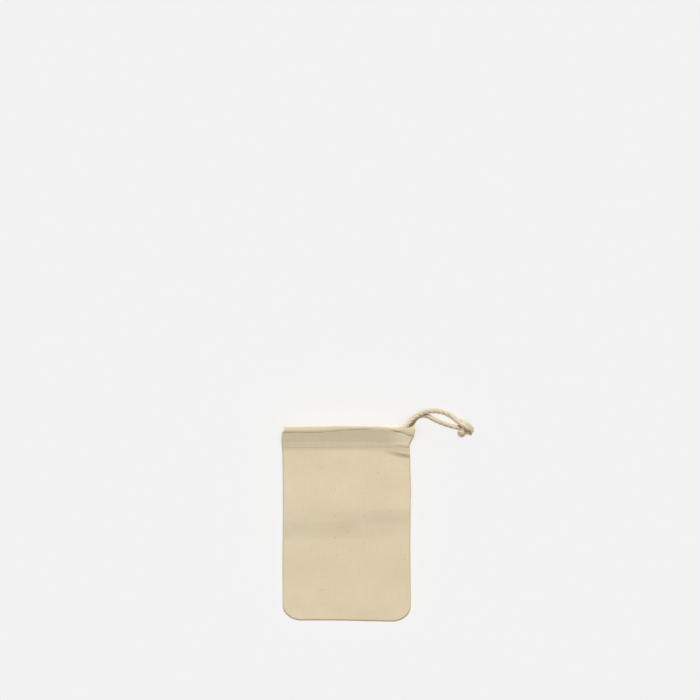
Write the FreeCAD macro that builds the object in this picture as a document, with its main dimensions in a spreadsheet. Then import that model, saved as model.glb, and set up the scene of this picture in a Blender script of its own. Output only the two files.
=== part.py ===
import FreeCAD, Part
import Sketcher
import math
import os
from FreeCAD import Vector

# Drawstring gift pouch of cotton muslin, lying on its back, in millimetres.
# +Z leaves the front panel, +Y points to the mouth, +X to the side where the cord leaves.
# The origin is under the middle of the pouch, on the surface that it lies on.

os.makedirs("parts", exist_ok=True)
doc = FreeCAD.newDocument("drawstring_pouch")

DIMENSIONS = [
    ("pouch_width", 101.0),        # side seam to side seam
    ("pouch_length", 154.0),       # bottom seam to mouth edge
    ("spout_reach", 3.4),          # how far the tunnel's open end flares past the right side
    ("corner_radius", 12.0),       # rounded bottom corners
    ("cloth", 0.4),                # one ply of muslin
    ("cord_diameter", 3.5),
    ("cord_clearance", 0.25),      # between the cord and the cloth round it
    ("mouth_gap", 4.3),            # between the two facings
    ("hem_depth", 16.5),           # mouth edge to the sewn edge of the facing
    ("hem_flat", 3.5),             # width of the facing's sewn strip
    ("fold_depth", 4.6),           # mouth edge to the foot of the cord's ridge
    ("tunnel_end", 39.0),          # where the folded edge opens and the cord can leave
    ("run_end", 36.0),             # where the runs in the tunnels become the tails
    ("shoulder_share", 0.28),      # bevel of the front panel's edges, as a share of its rise
    ("allowance_width", 5.0),      # seam allowance inside the pouch
    ("stitch_length", 2.0),
    ("stitch_pitch", 2.6),
    ("stitch_width", 0.4),
    ("stitch_height", 0.2),
    ("knot_length", 13.4),
    ("knot_radius", 4.0),
    ("frayed_radius", 2.7),
    ("overrun", 1.0),              # how far a cut runs past the face that it opens
    ("slack", 0.1),                # between the turned cord and the tunnel facings' ends
    ("flare_root", 6.0),           # the flared strip's width where it joins the front panel
    ("flare_foot", 0.5),           # from the facing's sewn edge up to where the flare starts
    ("flare_drop", 3.2),           # mouth edge down to the flare's tip
    ("flare_corner", 0.6),         # the flare's tip, cut back at the mouth edge
    ("seam_gap", 0.3),             # side seam to its allowance
    ("bottom_gap", 2.5),           # bottom edge to its allowance
    ("allowance_start", 4.0),      # from the rounded corner up to the side allowances
    ("row_inset", 1.0),            # a stitch row from the edge that it follows
    ("row_start", 2.0),            # a hem row from the facing's end
    ("front_row_end", 6.0),        # the front hem row stops short of the right seam
    ("surface_gap", 0.05),         # under the knot and the frayed end
    ("stub_gap", 0.3),             # under the tucked end
    ("stub_length", 0.6),          # the tucked end, from its middle
    ("stub_point", 1.3),           # and to its narrowed tip
    ("neck_length", 3.6),          # each cut end, from its middle back into the knot
    ("neck_end", 2.4),             # where the frayed end starts to open
]

sheet = doc.addObject("Spreadsheet::Sheet", "Dims")
for row, (alias, value) in enumerate(DIMENSIONS, start=1):
    sheet.set("A%d" % row, alias)
    sheet.set("B%d" % row, str(value))
    sheet.setAlias("B%d" % row, alias)
doc.recompute()


def dim(alias):
    return float(sheet.get(alias))


def number(formula):
    return float(sheet.evalExpression(formula))


# Places that several pieces share, as formulas on the sheet's cells.
LEFT = "-(Dims.pouch_width + Dims.spout_reach) / 2"
RIGHT = "(Dims.pouch_width - Dims.spout_reach) / 2"
TIP = "(Dims.pouch_width + Dims.spout_reach) / 2"
MOUTH = "Dims.pouch_length / 2"
BOTTOM = "-Dims.pouch_length / 2"
TUNNEL = "(2 * Dims.cloth + 2 * Dims.cord_clearance + Dims.cord_diameter)"
HEIGHT = "(2 * %s + Dims.mouth_gap)" % TUNNEL
HEM_EDGE = "(%s - Dims.hem_depth)" % MOUTH
RUN_Y = "(%s - Dims.cloth - Dims.cord_clearance - Dims.cord_diameter / 2)" % MOUTH

BACK_RUN_Z = "(Dims.cloth + Dims.cord_clearance + Dims.cord_diameter / 2)"
FRONT_RUN_Z = "(%s - %s)" % (HEIGHT, BACK_RUN_Z)
TURN_X = "(%s + %s + (%s - %s) / 2)" % (LEFT, BACK_RUN_Z, FRONT_RUN_Z, BACK_RUN_Z)

cord_radius = dim("cord_diameter") / 2

nodes = []


def new_body(label):
    body = doc.addObject("PartDesign::Body", label)
    body.Label = label
    body.AllowCompound = True
    nodes.append(body)
    return body


def origin_plane(body, role):
    for feature in body.Origin.OriginFeatures:
        if feature.Role == role:
            return feature
    raise ValueError(role)


def polygon_sketch(body, name, role, corners, offset):
    """Closed outline; each corner is a pair of formulas on the sheet's cells."""
    sketch = body.newObject("Sketcher::SketchObject", name)
    sketch.AttachmentSupport = [(origin_plane(body, role), "")]
    sketch.MapMode = "FlatFace"
    sketch.setExpression("AttachmentOffset.Base.z", offset)
    points = [Vector(number(across), number(up), 0) for across, up in corners]
    for index, point in enumerate(points):
        following = points[(index + 1) % len(points)]
        sketch.addGeometry(Part.LineSegment(point, following), False)
    for index in range(len(points)):
        following = (index + 1) % len(points)
        sketch.addConstraint(Sketcher.Constraint("Coincident", index, 2, following, 1))
    for index, (across, up) in enumerate(corners):
        for kind, formula in (("DistanceX", across), ("DistanceY", up)):
            place = sketch.addConstraint(Sketcher.Constraint(kind, -1, 1, index, 1, number(formula)))
            sketch.setExpression("Constraints[%d]" % place, formula)
    doc.recompute()
    return sketch


def pad(body, name, sketch, length, reverse=False):
    feature = body.newObject("PartDesign::Pad", name)
    feature.Profile = sketch
    feature.Reversed = reverse
    feature.setExpression("Length", length)
    doc.recompute()
    return feature


def box_body(label, x_span, y_span, z_span):
    """A strip with its sides along the axes, between three pairs of formulas."""
    body = new_body(label)
    (x_low, x_high), (y_low, y_high), (z_low, z_high) = x_span, y_span, z_span
    corners = [(x_low, y_low), (x_high, y_low), (x_high, y_high), (x_low, y_high)]
    outline = polygon_sketch(body, label + "_outline", "XY_Plane", corners, z_low)
    pad(body, label + "_pad", outline, "%s - (%s)" % (z_high, z_low))
    return body


# Front panel: a shallow shell, open at the mouth, that rises from a thin bottom seam to the full
# height at the hem. Each station is a distance from the bottom edge and the rise of the cloth there.
STATIONS = [
    ("0", "1.3"),
    ("0.9", "2.0"),
    ("2.5", "3.1"),
    ("5", "4.1"),
    ("8", "4.8"),
    ("12", "5.3"),
    ("(Dims.pouch_length - Dims.hem_depth - Dims.row_inset)", HEIGHT),
    ("Dims.pouch_length", HEIGHT),
]


def half_width(from_bottom, inset):
    """Half the pouch's width, drawn in along the rounded corners near the bottom."""
    short = "max(0; Dims.corner_radius - %s)" % from_bottom
    rounded = "sqrt((Dims.corner_radius - %s) ^ 2 - %s ^ 2)" % (inset, short)
    return "(Dims.pouch_width / 2 - Dims.corner_radius + %s)" % rounded


def shell_section(body, name, from_bottom, rise, inset):
    """Bevelled cross-section of the front panel at a station, or of its hollow when inset by a ply."""
    middle = "(%s + Dims.pouch_width / 2)" % LEFT
    bevel = "(Dims.shoulder_share * (%s - Dims.cloth))" % rise
    half = half_width(from_bottom, inset)
    top = "(%s - %s)" % (rise, inset)
    shift = "(%s * (sqrt(2) - 1))" % inset
    shoulder = "(%s - %s - %s)" % (rise, bevel, shift)
    reach = "(%s + %s - %s)" % (bevel, shift, inset)
    corners = [
        ("%s - %s" % (middle, half), "Dims.cloth"),
        ("%s + %s" % (middle, half), "Dims.cloth"),
        ("%s + %s" % (middle, half), shoulder),
        ("%s + %s - %s" % (middle, half, reach), top),
        ("%s - %s + %s" % (middle, half, reach), top),
        ("%s - %s" % (middle, half), shoulder),
    ]
    return polygon_sketch(body, name, "XZ_Plane", corners, "-(%s + %s)" % (BOTTOM, from_bottom))


def loft(body, kind, name, sections):
    feature = body.newObject("PartDesign::" + kind, name)
    feature.Profile = sections[0]
    feature.Sections = sections[1:]
    feature.Ruled = True
    doc.recompute()
    return feature


front = new_body("front_panel")
outer_sections = [
    shell_section(front, "front_outer_%d" % index, place, rise, "0")
    for index, (place, rise) in enumerate(STATIONS)
]
loft(front, "AdditiveLoft", "front_form", outer_sections)

# The hollow starts one fold of cloth above the bottom seam and runs out past the mouth.
hollow_stations = STATIONS[1:-1] + [("(Dims.pouch_length + Dims.overrun)", HEIGHT)]
inner_sections = [
    shell_section(front, "front_inner_%d" % index, place, rise, "Dims.cloth")
    for index, (place, rise) in enumerate(hollow_stations)
]
solid_form = front.Shape.Volume
loft(front, "SubtractiveLoft", "front_hollow", inner_sections)
assert front.Shape.Volume < 0.2 * solid_form

# The right side seam stops at the hem, so the side wall is missing there and the cord leaves through it.
exit_top = "(%s - Dims.cloth)" % HEIGHT
PAST_MOUTH = "(%s + Dims.overrun)" % MOUTH
exit_corners = [
    ("Dims.tunnel_end", HEM_EDGE),
    (TIP, HEM_EDGE),
    (TIP, PAST_MOUTH),
    ("Dims.tunnel_end", PAST_MOUTH),
]
exit_sketch = polygon_sketch(front, "exit_outline", "XY_Plane", exit_corners, "Dims.cloth")
before_exit = front.Shape.Volume
side_exit = front.newObject("PartDesign::Pocket", "side_exit")
side_exit.Profile = exit_sketch
side_exit.Reversed = True
side_exit.setExpression("Length", "%s - Dims.cloth" % exit_top)
doc.recompute()
assert 20 < before_exit - front.Shape.Volume < 400

# The open end of the tunnel flares to one side in the front and the back ply alike.
FLARE_ROOT = "(%s - Dims.flare_root)" % RIGHT
FLARE_FOOT = "(%s + Dims.flare_foot)" % HEM_EDGE
FLARE = [
    (FLARE_ROOT, FLARE_FOOT),
    (RIGHT, FLARE_FOOT),
    (TIP, "%s - Dims.flare_drop" % MOUTH),
    ("%s - Dims.flare_corner" % TIP, MOUTH),
    (FLARE_ROOT, MOUTH),
]
front_flare = polygon_sketch(front, "front_flare", "XY_Plane", FLARE, exit_top)
pad(front, "front_spout", front_flare, "Dims.cloth")

# Back panel: one flat ply with rounded bottom corners and the same flare.
back = new_body("back_panel")
BACK_OUTLINE = [
    (LEFT, BOTTOM),
    (RIGHT, BOTTOM),
    (RIGHT, FLARE_FOOT),
    (TIP, "%s - Dims.flare_drop" % MOUTH),
    ("%s - Dims.flare_corner" % TIP, MOUTH),
    (LEFT, MOUTH),
]
back_sketch = polygon_sketch(back, "back_outline", "XY_Plane", BACK_OUTLINE, "0")
back_ply = pad(back, "back_ply", back_sketch, "Dims.cloth")
corner_edges = []
for index, edge in enumerate(back_ply.Shape.Edges, start=1):
    box = edge.BoundBox
    if box.ZLength > 0.9 * dim("cloth") and box.YMax < 0.99 * number(BOTTOM):
        corner_edges.append("Edge%d" % index)
assert len(corner_edges) == 2
rounding = back.newObject("PartDesign::Fillet", "bottom_corners")
rounding.Base = (back_ply, corner_edges)
rounding.setExpression("Radius", "Dims.corner_radius")
doc.recompute()

# Tunnel facings: the cloth turned down inside the mouth, over the cord, to a flat sewn strip.
FACING_START = "(%s + Dims.slack)" % TURN_X
STRIP_TOP = "(2 * Dims.cloth)"
STRIP_END = "(%s + Dims.hem_flat)" % HEM_EDGE
FOLD = "(%s - Dims.fold_depth)" % MOUTH
FACING_SECTION = [
    (MOUTH, "Dims.cloth"),
    (MOUTH, TUNNEL),
    (FOLD, TUNNEL),
    (STRIP_END, STRIP_TOP),
    (HEM_EDGE, STRIP_TOP),
    (HEM_EDGE, "Dims.cloth"),
    ("%s + Dims.slack" % STRIP_END, "Dims.cloth"),
    ("%s + Dims.slack" % FOLD, "%s - Dims.cloth" % TUNNEL),
    ("%s - Dims.cloth" % MOUTH, "%s - Dims.cloth" % TUNNEL),
    ("%s - Dims.cloth" % MOUTH, "Dims.cloth"),
]
for label, upside_down in (("back_tunnel_facing", False), ("front_tunnel_facing", True)):
    facing = new_body(label)
    section = FACING_SECTION
    if upside_down:
        section = [(along, "%s - (%s)" % (HEIGHT, up)) for along, up in FACING_SECTION]
    profile = polygon_sketch(facing, label + "_profile", "YZ_Plane", section, FACING_START)
    pad(facing, label + "_ply", profile, "Dims.tunnel_end - %s" % FACING_START)

# Seam allowances: two plies turned in, lying on the back panel along the three sewn sides.
ALLOWANCE_Z = ("Dims.cloth", "3 * Dims.cloth")
SIDE_Y = ("%s + Dims.corner_radius + Dims.allowance_start" % BOTTOM, "%s - Dims.row_inset" % HEM_EDGE)
INSIDE_LEFT = "(%s + Dims.cloth + Dims.seam_gap)" % LEFT
INSIDE_RIGHT = "(%s - Dims.cloth - Dims.seam_gap)" % RIGHT
INSIDE_BOTTOM = "(%s + Dims.bottom_gap)" % BOTTOM
BOTTOM_X = ("%s + Dims.corner_radius" % LEFT, "%s - Dims.corner_radius" % RIGHT)
LEFT_STRIP = (INSIDE_LEFT, "%s + Dims.allowance_width" % INSIDE_LEFT)
RIGHT_STRIP = ("%s - Dims.allowance_width" % INSIDE_RIGHT, INSIDE_RIGHT)
BOTTOM_STRIP = (INSIDE_BOTTOM, "%s + Dims.allowance_width" % INSIDE_BOTTOM)
box_body("left_seam_allowance", LEFT_STRIP, SIDE_Y, ALLOWANCE_Z)
box_body("right_seam_allowance", RIGHT_STRIP, SIDE_Y, ALLOWANCE_Z)
box_body("bottom_seam_allowance", BOTTOM_X, BOTTOM_STRIP, ALLOWANCE_Z)


def stitch_row(label, low, high, across, along_x, base_z):
    """Short flat stitches in a line, each a solid of its own, repeated along one axis."""
    body = new_body(label)
    half = "Dims.stitch_width / 2"
    length = "%s + Dims.stitch_length" % low
    sides = (("%s - %s" % (across, half)), ("%s + %s" % (across, half)))
    corners = [(low, sides[0]), (length, sides[0]), (length, sides[1]), (low, sides[1])]
    if not along_x:
        corners = [(side, along) for along, side in corners]
    outline = polygon_sketch(body, label + "_first", "XY_Plane", corners, base_z)
    first = pad(body, label + "_stitch", outline, "Dims.stitch_height")
    row = body.newObject("PartDesign::LinearPattern", label + "_row")
    row.Originals = [first]
    row.Direction = (outline, ["H_Axis" if along_x else "V_Axis"])
    count = int((number(high) - number(low)) / dim("stitch_pitch"))
    row.Occurrences = count
    row.setExpression("Length", "Dims.stitch_pitch * %d" % (count - 1))
    body.Tip = row
    doc.recompute()
    assert len(body.Shape.Solids) == count, (label, len(body.Shape.Solids), count)


HEM_ROW_START = "%s + Dims.row_start" % FACING_START
FRONT_ROW_END = "%s - Dims.front_row_end" % RIGHT
BACK_ROW_END = "Dims.tunnel_end - Dims.row_inset"
HEM_ROW_Y = "(%s + Dims.row_inset)" % HEM_EDGE
LEFT_ROW_X = "(%s + Dims.row_inset)" % INSIDE_LEFT
RIGHT_ROW_X = "(%s - Dims.row_inset)" % INSIDE_RIGHT
BOTTOM_ROW_Y = "(%s + Dims.row_inset)" % INSIDE_BOTTOM
stitch_row("front_hem_stitches", HEM_ROW_START, FRONT_ROW_END, HEM_ROW_Y, True, HEIGHT)
stitch_row("back_hem_stitches", HEM_ROW_START, BACK_ROW_END, HEM_ROW_Y, True, STRIP_TOP)
stitch_row("left_seam_stitches", SIDE_Y[0], SIDE_Y[1], LEFT_ROW_X, False, ALLOWANCE_Z[1])
stitch_row("right_seam_stitches", SIDE_Y[0], SIDE_Y[1], RIGHT_ROW_X, False, ALLOWANCE_Z[1])
stitch_row("bottom_seam_stitches", BOTTOM_X[0], BOTTOM_X[1], BOTTOM_ROW_Y, True, ALLOWANCE_Z[1])


# Drawcord. In the tunnels it is straight, and at the left side seam it turns from one tunnel to the other.
def run_body(label, height_formula):
    body = new_body(label)
    sketch = body.newObject("Sketcher::SketchObject", label + "_section")
    sketch.AttachmentSupport = [(origin_plane(body, "YZ_Plane"), "")]
    sketch.MapMode = "FlatFace"
    sketch.setExpression("AttachmentOffset.Base.z", TURN_X)
    centre = Vector(number(RUN_Y), number(height_formula), 0)
    sketch.addGeometry(Part.Circle(centre, Vector(0, 0, 1), cord_radius), False)
    for kind, formula in (("DistanceX", RUN_Y), ("DistanceY", height_formula)):
        place = sketch.addConstraint(Sketcher.Constraint(kind, -1, 1, 0, 3, number(formula)))
        sketch.setExpression("Constraints[%d]" % place, formula)
    place = sketch.addConstraint(Sketcher.Constraint("Radius", 0, cord_radius))
    sketch.setExpression("Constraints[%d]" % place, "Dims.cord_diameter / 2")
    pad(body, label + "_strand", sketch, "Dims.run_end - %s" % TURN_X)


run_body("drawcord_front_run", FRONT_RUN_Z)
run_body("drawcord_back_run", BACK_RUN_Z)


def add_feature(label, shape, placement=FreeCAD.Placement()):
    """A piece whose form neither a sketch nor a primitive gives; its Placement follows its Shape."""
    piece = doc.addObject("Part::Feature", label)
    piece.Label = label
    piece.Shape = shape
    piece.Placement = placement
    nodes.append(piece)


def sweep_round(path, start, direction, radius):
    section = Part.Wire([Part.makeCircle(radius, start, direction)])
    return path.makePipeShell([section], True, False)


run_y = number(RUN_Y)
back_run_z = number(BACK_RUN_Z)
front_run_z = number(FRONT_RUN_Z)
turn_x = number(TURN_X)
turn_radius = (front_run_z - back_run_z) / 2
turn_start = Vector(turn_x, run_y, back_run_z)
turn_middle = Vector(turn_x - turn_radius, run_y, back_run_z + turn_radius)
turn_end = Vector(turn_x, run_y, front_run_z)
half_turn = Part.Wire([Part.Arc(turn_start, turn_middle, turn_end).toShape()])
add_feature("drawcord_turn", sweep_round(half_turn, turn_start, Vector(-1, 0, 0), cord_radius))


# The tails: from the ends of the runs, out of the spout, down to the surface and into the knot.
run_end = dim("run_end")
UPPER_TAIL = [
    (run_end, run_y, front_run_z),
    (41.2, run_y, front_run_z),
    (45.2, 76.8, 10.5),
    (48.2, 80.7, 8.8),
    (51.8, 84.1, 7.2),
    (56.1, 86.7, 6.0),
    (61.0, 88.3, 4.9),
    (66.3, 88.9, 3.6),
    (71.7, 88.5, 2.5),
    (76.9, 86.9, 1.95),
    (81.5, 84.3, 1.85),
    (85.1, 81.3, 2.7),
    (87.7, 79.1, 4.5),
]
LOWER_TAIL = [
    (run_end, run_y, back_run_z),
    (41.0, run_y, back_run_z),
    (45.6, 75.3, 2.35),
    (49.2, 77.8, 2.35),
    (51.1, 81.6, 1.95),
    (54.2, 84.6, 1.8),
    (58.4, 86.0, 1.8),
    (62.7, 85.5, 1.8),
    (67.2, 83.0, 1.8),
    (72.9, 80.4, 1.8),
    (79.0, 77.9, 1.8),
    (84.8, 76.6, 1.9),
    (88.8, 75.8, 2.5),
]
ARC_SHARE = 0.45    # of the shorter run, taken by the arc on each side of a point


def tail_path(label, route):
    """Straight runs joined by tangent arcs; prints the arcs' radii."""
    points = [Vector(*point) for point in route]
    edges = []
    radii = []
    at = points[0]
    for before, corner, after in zip(points, points[1:], points[2:]):
        incoming = (corner - before).normalize()
        outgoing = (after - corner).normalize()
        turn = incoming.getAngle(outgoing)
        cut = ARC_SHARE * min((corner - before).Length, (after - corner).Length)
        radius = cut / math.tan(turn / 2)
        radii.append(radius)
        arc_start = corner - incoming * cut
        arc_end = corner + outgoing * cut
        bisector = (outgoing - incoming).normalize()
        arc_middle = corner + bisector * (radius / math.cos(turn / 2) - radius)
        edges.append(Part.LineSegment(at, arc_start).toShape())
        edges.append(Part.Arc(arc_start, arc_middle, arc_end).toShape())
        at = arc_end
    edges.append(Part.LineSegment(at, points[-1]).toShape())
    path = Part.Wire(edges)
    print(label, "radii", [round(radius, 1) for radius in radii], "length", round(path.Length, 1))
    return path


for label, route in (("drawcord_upper_tail", UPPER_TAIL), ("drawcord_lower_tail", LOWER_TAIL)):
    path = tail_path(label, route)
    start = Vector(*route[0])
    heading = Vector(*route[1]) - start
    tube = sweep_round(path, start, heading, cord_radius)
    expected = math.pi * cord_radius ** 2 * path.Length
    print(label, "volume", round(tube.Volume, 1), "section times length", round(expected, 1))
    assert abs(tube.Volume - expected) < 0.01 * expected
    add_feature(label, tube)


# Overhand knot of both tails: a full barrel lying on the surface, along the tails' last direction.
knot_middle = Vector(91.5, 75.8, dim("knot_radius") + dim("surface_gap"))
knot_heading = Vector(0.84, -0.54, 0)
# Shares of the knot's length and of its radius, from the tails' side to the loop.
KNOT_PROFILE = [
    (0.0, 0.52),
    (0.10, 0.80),
    (0.30, 0.98),
    (0.50, 1.0),
    (0.72, 0.96),
    (0.90, 0.80),
    (1.0, 0.55),
]


def add_turned(label, points, middle, heading):
    """Solid turned from (distance along the axis, radius) pairs, its zero point at middle."""
    profile = [Vector(0, 0, points[0][0])]
    profile += [Vector(radius, 0, along) for along, radius in points]
    profile += [Vector(0, 0, points[-1][0])]
    face = Part.Face(Part.makePolygon(profile + [profile[0]]))
    solid = face.revolve(Vector(0, 0, 0), Vector(0, 0, 1), 360)
    add_feature(label, solid, FreeCAD.Placement(middle, FreeCAD.Rotation(Vector(0, 0, 1), heading)))


knot_length = dim("knot_length")
barrel = [((share - 0.5) * knot_length, size * dim("knot_radius")) for share, size in KNOT_PROFILE]
add_turned("drawcord_knot", barrel, knot_middle, knot_heading)

# The two cut ends stand out of the knot: one frayed into a tuft, one tucked and short.
TUFT_ANGLES = range(48, 169, 20)    # degrees from the neck, round the ball of fibres
STUB_TIP = 0.75                     # the narrowed tip, as a share of the cord's radius
frayed = dim("frayed_radius")
tuft = [(-dim("neck_length"), cord_radius), (-dim("neck_end"), cord_radius)]
for angle in TUFT_ANGLES:
    tuft.append((-frayed * math.cos(math.radians(angle)), frayed * math.sin(math.radians(angle))))
frayed_middle = Vector(89.4, 70.4, frayed + dim("surface_gap"))
add_turned("drawcord_frayed_end", tuft, frayed_middle, Vector(-0.42, -0.9, 0))
stub = [
    (-dim("neck_length"), cord_radius),
    (dim("stub_length"), cord_radius),
    (dim("stub_point"), STUB_TIP * cord_radius),
]
stub_middle = Vector(97.0, 71.6, cord_radius + dim("stub_gap"))
add_turned("drawcord_tucked_end", stub, stub_middle, Vector(0.62, -0.78, 0))

doc.recompute()
for item in doc.Objects:
    assert not {"Invalid", "Error"} & set(item.State), (item.Label, item.State)
for node in nodes:
    assert not node.Shape.isNull() and node.Shape.isValid(), node.Label
for node in nodes:
    node.Shape.exportStep("parts/%s.step" % node.Label)
print(len(nodes), "nodes written")
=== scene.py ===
import bpy
import math
import random
import numpy as np
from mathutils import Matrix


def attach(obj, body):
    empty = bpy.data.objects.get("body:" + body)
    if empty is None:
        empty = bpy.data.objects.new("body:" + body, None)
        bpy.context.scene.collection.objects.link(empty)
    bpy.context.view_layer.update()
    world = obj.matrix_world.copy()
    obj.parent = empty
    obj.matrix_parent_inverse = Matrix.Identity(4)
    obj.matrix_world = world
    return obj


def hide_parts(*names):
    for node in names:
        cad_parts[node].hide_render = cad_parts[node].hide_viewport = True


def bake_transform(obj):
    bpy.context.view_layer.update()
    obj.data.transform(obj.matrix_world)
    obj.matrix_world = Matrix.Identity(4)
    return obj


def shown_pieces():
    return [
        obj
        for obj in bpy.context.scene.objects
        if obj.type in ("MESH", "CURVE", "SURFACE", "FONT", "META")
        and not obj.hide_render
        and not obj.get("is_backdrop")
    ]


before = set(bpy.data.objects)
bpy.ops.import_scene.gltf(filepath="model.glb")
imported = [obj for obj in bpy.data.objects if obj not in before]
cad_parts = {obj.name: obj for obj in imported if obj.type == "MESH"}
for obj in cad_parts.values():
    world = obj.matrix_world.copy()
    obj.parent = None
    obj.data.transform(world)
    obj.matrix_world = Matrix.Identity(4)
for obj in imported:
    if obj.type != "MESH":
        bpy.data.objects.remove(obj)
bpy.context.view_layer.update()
mm = 0.001

# straight down, from well above the pouch and its cord
cameraSet = {
    "across": 0.00075,
    "up": 0.137,
    "height": 2.312,
    "lens": 150.0,
    "sensor": 36.0,
}

cordSet = {
    "diameter": 3.5 * mm,
    "strands": 3,
    "strandRadius": 1.20 * mm,
    "layRadius": 0.70 * mm,
    "twistPitch": 12.5 * mm,
    "step": 0.5 * mm,
    "sides": 14,
    # each strand's thickness varies: size, rate and shift from strand to strand
    "unevenness": [(0.03, 0.9, 2.1), (0.02, 2.3, 4.4)],
    "hemPressed": 0.17,
    "freeFrom": 30.0 * mm,
    "freeOver": 6.0 * mm,
    "taperLength": 3.0 * mm,
    "knotTaper": 0.25,
}

# where the cord runs; the two tails leave the right end of the mouth and meet in the knot
upperTailRoute = [
    (36.0, 74.05, 11.5), (39.4, 74.05, 11.5), (42.6, 74.9, 11.3), (45.6, 77.2, 10.4),
    (48.3, 80.6, 8.2), (51.8, 84.1, 6.6), (56.1, 86.7, 5.7), (61.0, 88.3, 4.4),
    (66.3, 88.9, 3.2), (71.7, 88.5, 2.4), (76.9, 86.9, 2.1), (81.5, 84.3, 2.1),
    (85.1, 81.3, 2.8), (87.7, 79.1, 4.5),
]
lowerTailRoute = [
    (36.0, 74.6, 2.4), (41.0, 74.6, 2.4), (46.0, 75.0, 2.4), (49.6, 77.4, 2.7),
    (51.5, 81.2, 2.5), (54.4, 84.2, 2.15), (58.4, 85.5, 2.1), (62.6, 84.7, 2.1),
    (67.2, 82.0, 2.1), (72.9, 79.5, 2.1), (79.0, 77.2, 2.1), (84.8, 75.9, 2.1),
    (88.8, 75.2, 2.1),
]
# through the front hem, round the far side seam and back through the back hem
hemRoute = [
    (36.0, 74.05, 11.5), (24.0, 74.5, 11.5), (8.0, 74.7, 11.5), (-20.0, 74.7, 11.5),
    (-41.0, 74.35, 11.5), (-46.4, 74.3, 11.5), (-49.1, 74.3, 8.9), (-49.1, 74.3, 5.0),
    (-46.4, 74.3, 2.42), (-41.0, 74.4, 2.42), (-20.0, 74.7, 2.42), (8.0, 74.7, 2.42),
    (24.0, 74.6, 2.4), (36.0, 74.6, 2.4),
]
knotRoutes = {
    "overWrap": [
        (87.7, 79.1, 4.5), (89.9, 77.8, 6.0), (92.8, 76.1, 6.5), (95.8, 74.1, 5.5),
        (97.5, 72.5, 3.4),
    ],
    "sideWrap": [
        (88.2, 80.5, 2.8), (90.6, 79.5, 4.8), (93.8, 77.7, 5.7), (96.4, 75.6, 4.8),
        (97.5, 74.1, 2.8),
    ],
    "underPass": [
        (88.8, 75.2, 2.1), (91.3, 73.1, 2.4), (94.2, 71.6, 2.7), (97.1, 70.9, 2.3),
    ],
    "neck": [
        (90.9, 76.2, 4.2), (89.9, 74.2, 4.2), (89.3, 72.6, 3.6), (89.1, 71.6, 3.1),
    ],
}


def makeCamera(c):
    data = bpy.data.cameras.new("camera")
    data.lens = c["lens"]
    data.sensor_width = c["sensor"]
    data.clip_end = 20.0
    obj = bpy.data.objects.new("camera", data)
    obj.location = (c["across"], c["up"], c["height"])
    bpy.context.scene.collection.objects.link(obj)
    bpy.context.scene.camera = obj
    return obj


def smooth(t):
    t = np.clip(t, 0.0, 1.0)
    return t * t * (3.0 - 2.0 * t)


def bump(t, centre, width):
    return np.exp(-((t - centre) / width) ** 2)


def gatherWithCord(obj):
    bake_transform(obj)
    count = len(obj.data.vertices)
    co = np.empty(count * 3)
    obj.data.vertices.foreach_get("co", co)
    co = co.reshape(-1, 3) / mm
    return obj


def meshPiece(name, verts, faces, finish, space=None):
    mesh = bpy.data.meshes.new(name)
    mesh.from_pydata([tuple(v) for v in verts], [], faces)
    mesh.validate()
    mesh.polygons.foreach_set("use_smooth", [True] * len(mesh.polygons))
    if space is not None:
        place = mesh.attributes.new("threadSpace", "FLOAT_VECTOR", "POINT")
        place.data.foreach_set("vector", np.asarray(space, np.float32).ravel())
    mesh.materials.append(finish)
    mesh.update()
    obj = bpy.data.objects.new(name, mesh)
    bpy.context.scene.collection.objects.link(obj)
    return obj


def nurbsLine(points):
    curve = bpy.data.curves.new("line", "CURVE")
    curve.dimensions = "3D"
    curve.resolution_u = 24
    spline = curve.splines.new("NURBS")
    spline.points.add(len(points) - 1)
    for point, place in zip(spline.points, points):
        point.co = (place[0] * mm, place[1] * mm, place[2] * mm, 1.0)
    spline.order_u = 3
    spline.use_endpoint_u = True
    obj = bpy.data.objects.new("line", curve)
    bpy.context.scene.collection.objects.link(obj)
    bpy.context.view_layer.update()
    mesh = bpy.data.meshes.new_from_object(obj)
    line = np.array([v.co[:] for v in mesh.vertices])
    bpy.data.objects.remove(obj)
    bpy.data.curves.remove(curve)
    bpy.data.meshes.remove(mesh)
    return line


def evenly(line, step):
    gaps = np.linalg.norm(np.diff(line, axis=0), axis=1)
    along = np.concatenate([[0.0], np.cumsum(gaps)])
    count = max(3, int(round(along[-1] / step)) + 1)
    want = np.linspace(0.0, along[-1], count)
    return np.stack([np.interp(want, along, line[:, k]) for k in range(3)], axis=1), want


def carriedFrames(line):
    # side directions carried along the line without twisting
    ahead = np.gradient(line, axis=0)
    ahead /= np.linalg.norm(ahead, axis=1)[:, None]
    side = np.cross(ahead[0], (0.0, 0.0, 1.0))
    if np.linalg.norm(side) < 0.1:
        side = np.cross(ahead[0], (1.0, 0.0, 0.0))
    side /= np.linalg.norm(side)
    sides = []
    for direction in ahead:
        side = side - direction * np.dot(side, direction)
        side = side / np.linalg.norm(side)
        sides.append(side)
    sides = np.array(sides)
    return ahead, sides, np.cross(ahead, sides)


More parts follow.
